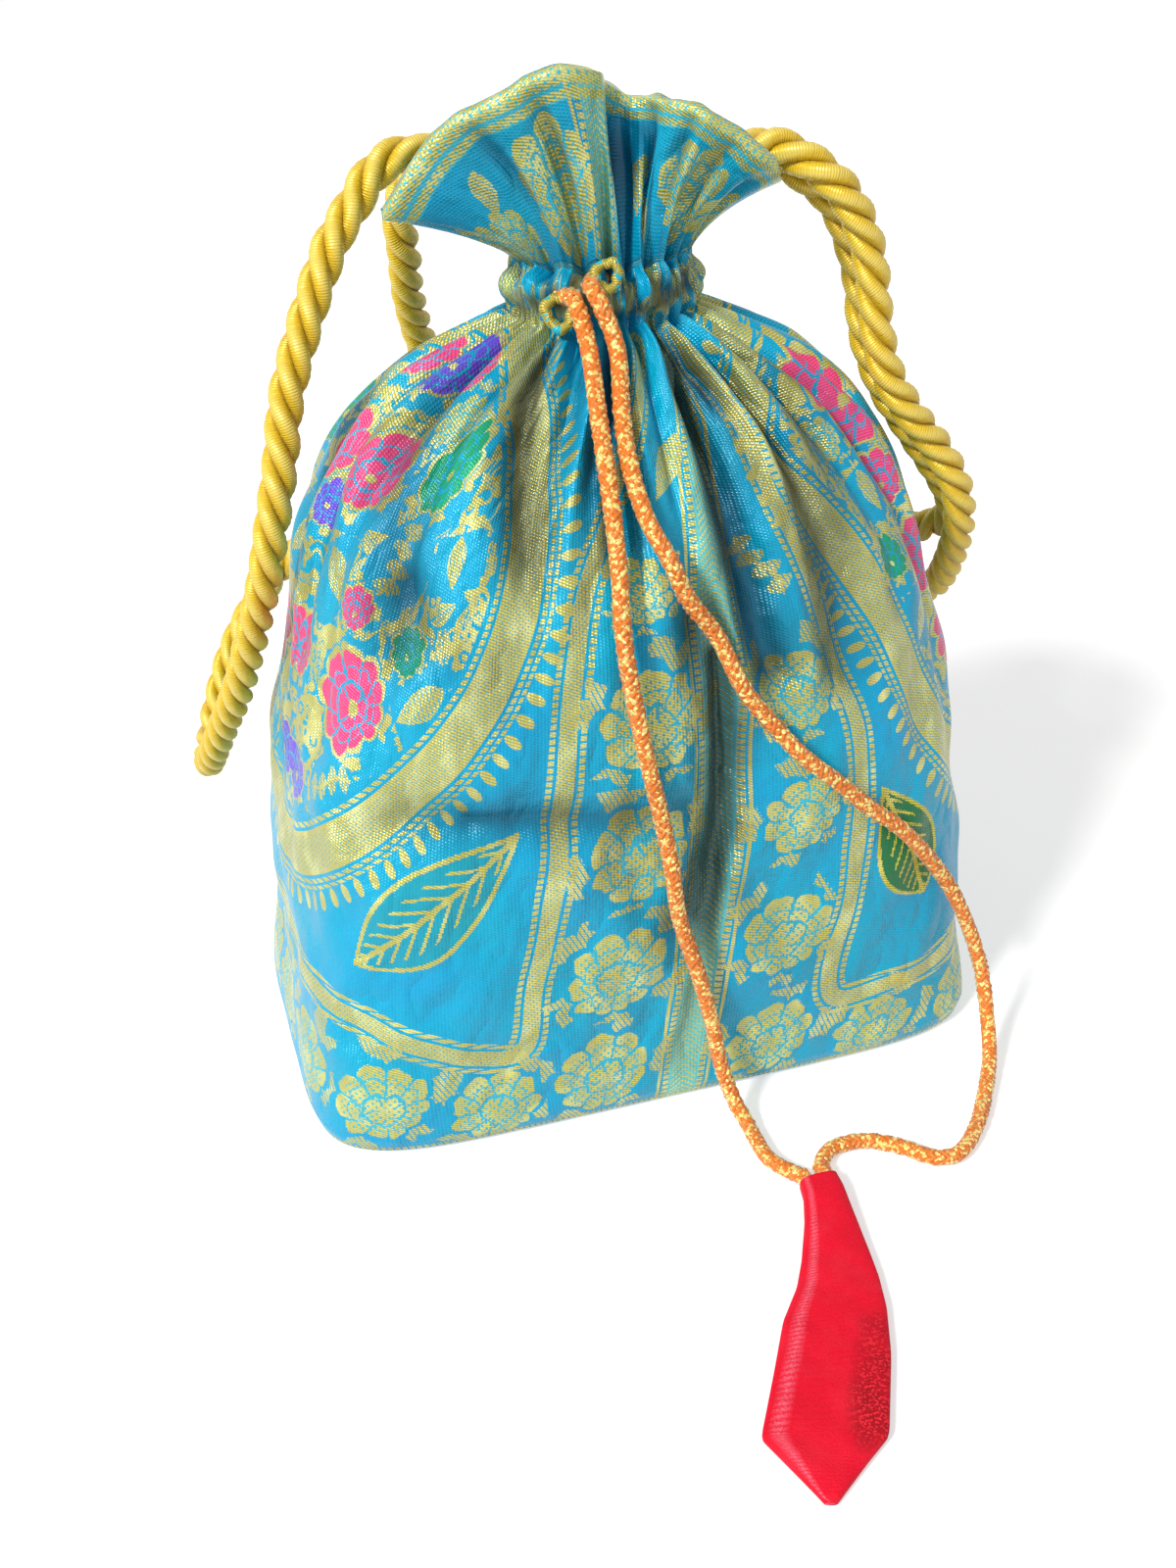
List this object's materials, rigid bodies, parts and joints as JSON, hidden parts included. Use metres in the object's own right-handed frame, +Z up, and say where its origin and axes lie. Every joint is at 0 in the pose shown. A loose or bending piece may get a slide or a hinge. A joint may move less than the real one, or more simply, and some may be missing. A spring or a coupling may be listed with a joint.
{
  "type": "drawstring pouch bag",
  "caption": "Brocade potli bag with a boxy base, drawn shut at a gathered neck below a flared ruffle, with a drawstring, tag and rope handles.",
  "frame": {"origin": "middle of the base, on the surface that the bag stands on", "axes": "+Z up, -Y towards the front, where the drawstring comes out, +X to the right seen from the front, along the width"},
  "size_m": [0.2145, 0.2788, 0.2531],
  "materials": {
    "turquoise_brocade": "satin brocade with gold and coloured woven motifs",
    "orange_cord": "braided, with gold flecks",
    "red_velvet": "velvet",
    "gold_rope": "glossy satin-wrapped twisted rope"
  },
  "bodies": {
    "root": {"pouch": "turquoise_brocade", "drawstring_left": "orange_cord", "drawstring_right": "orange_cord", "drawstring_in_channel": "orange_cord", "tag": "red_velvet", "handle_left": "gold_rope", "handle_right": "gold_rope"}
  },
  "joints": []
}
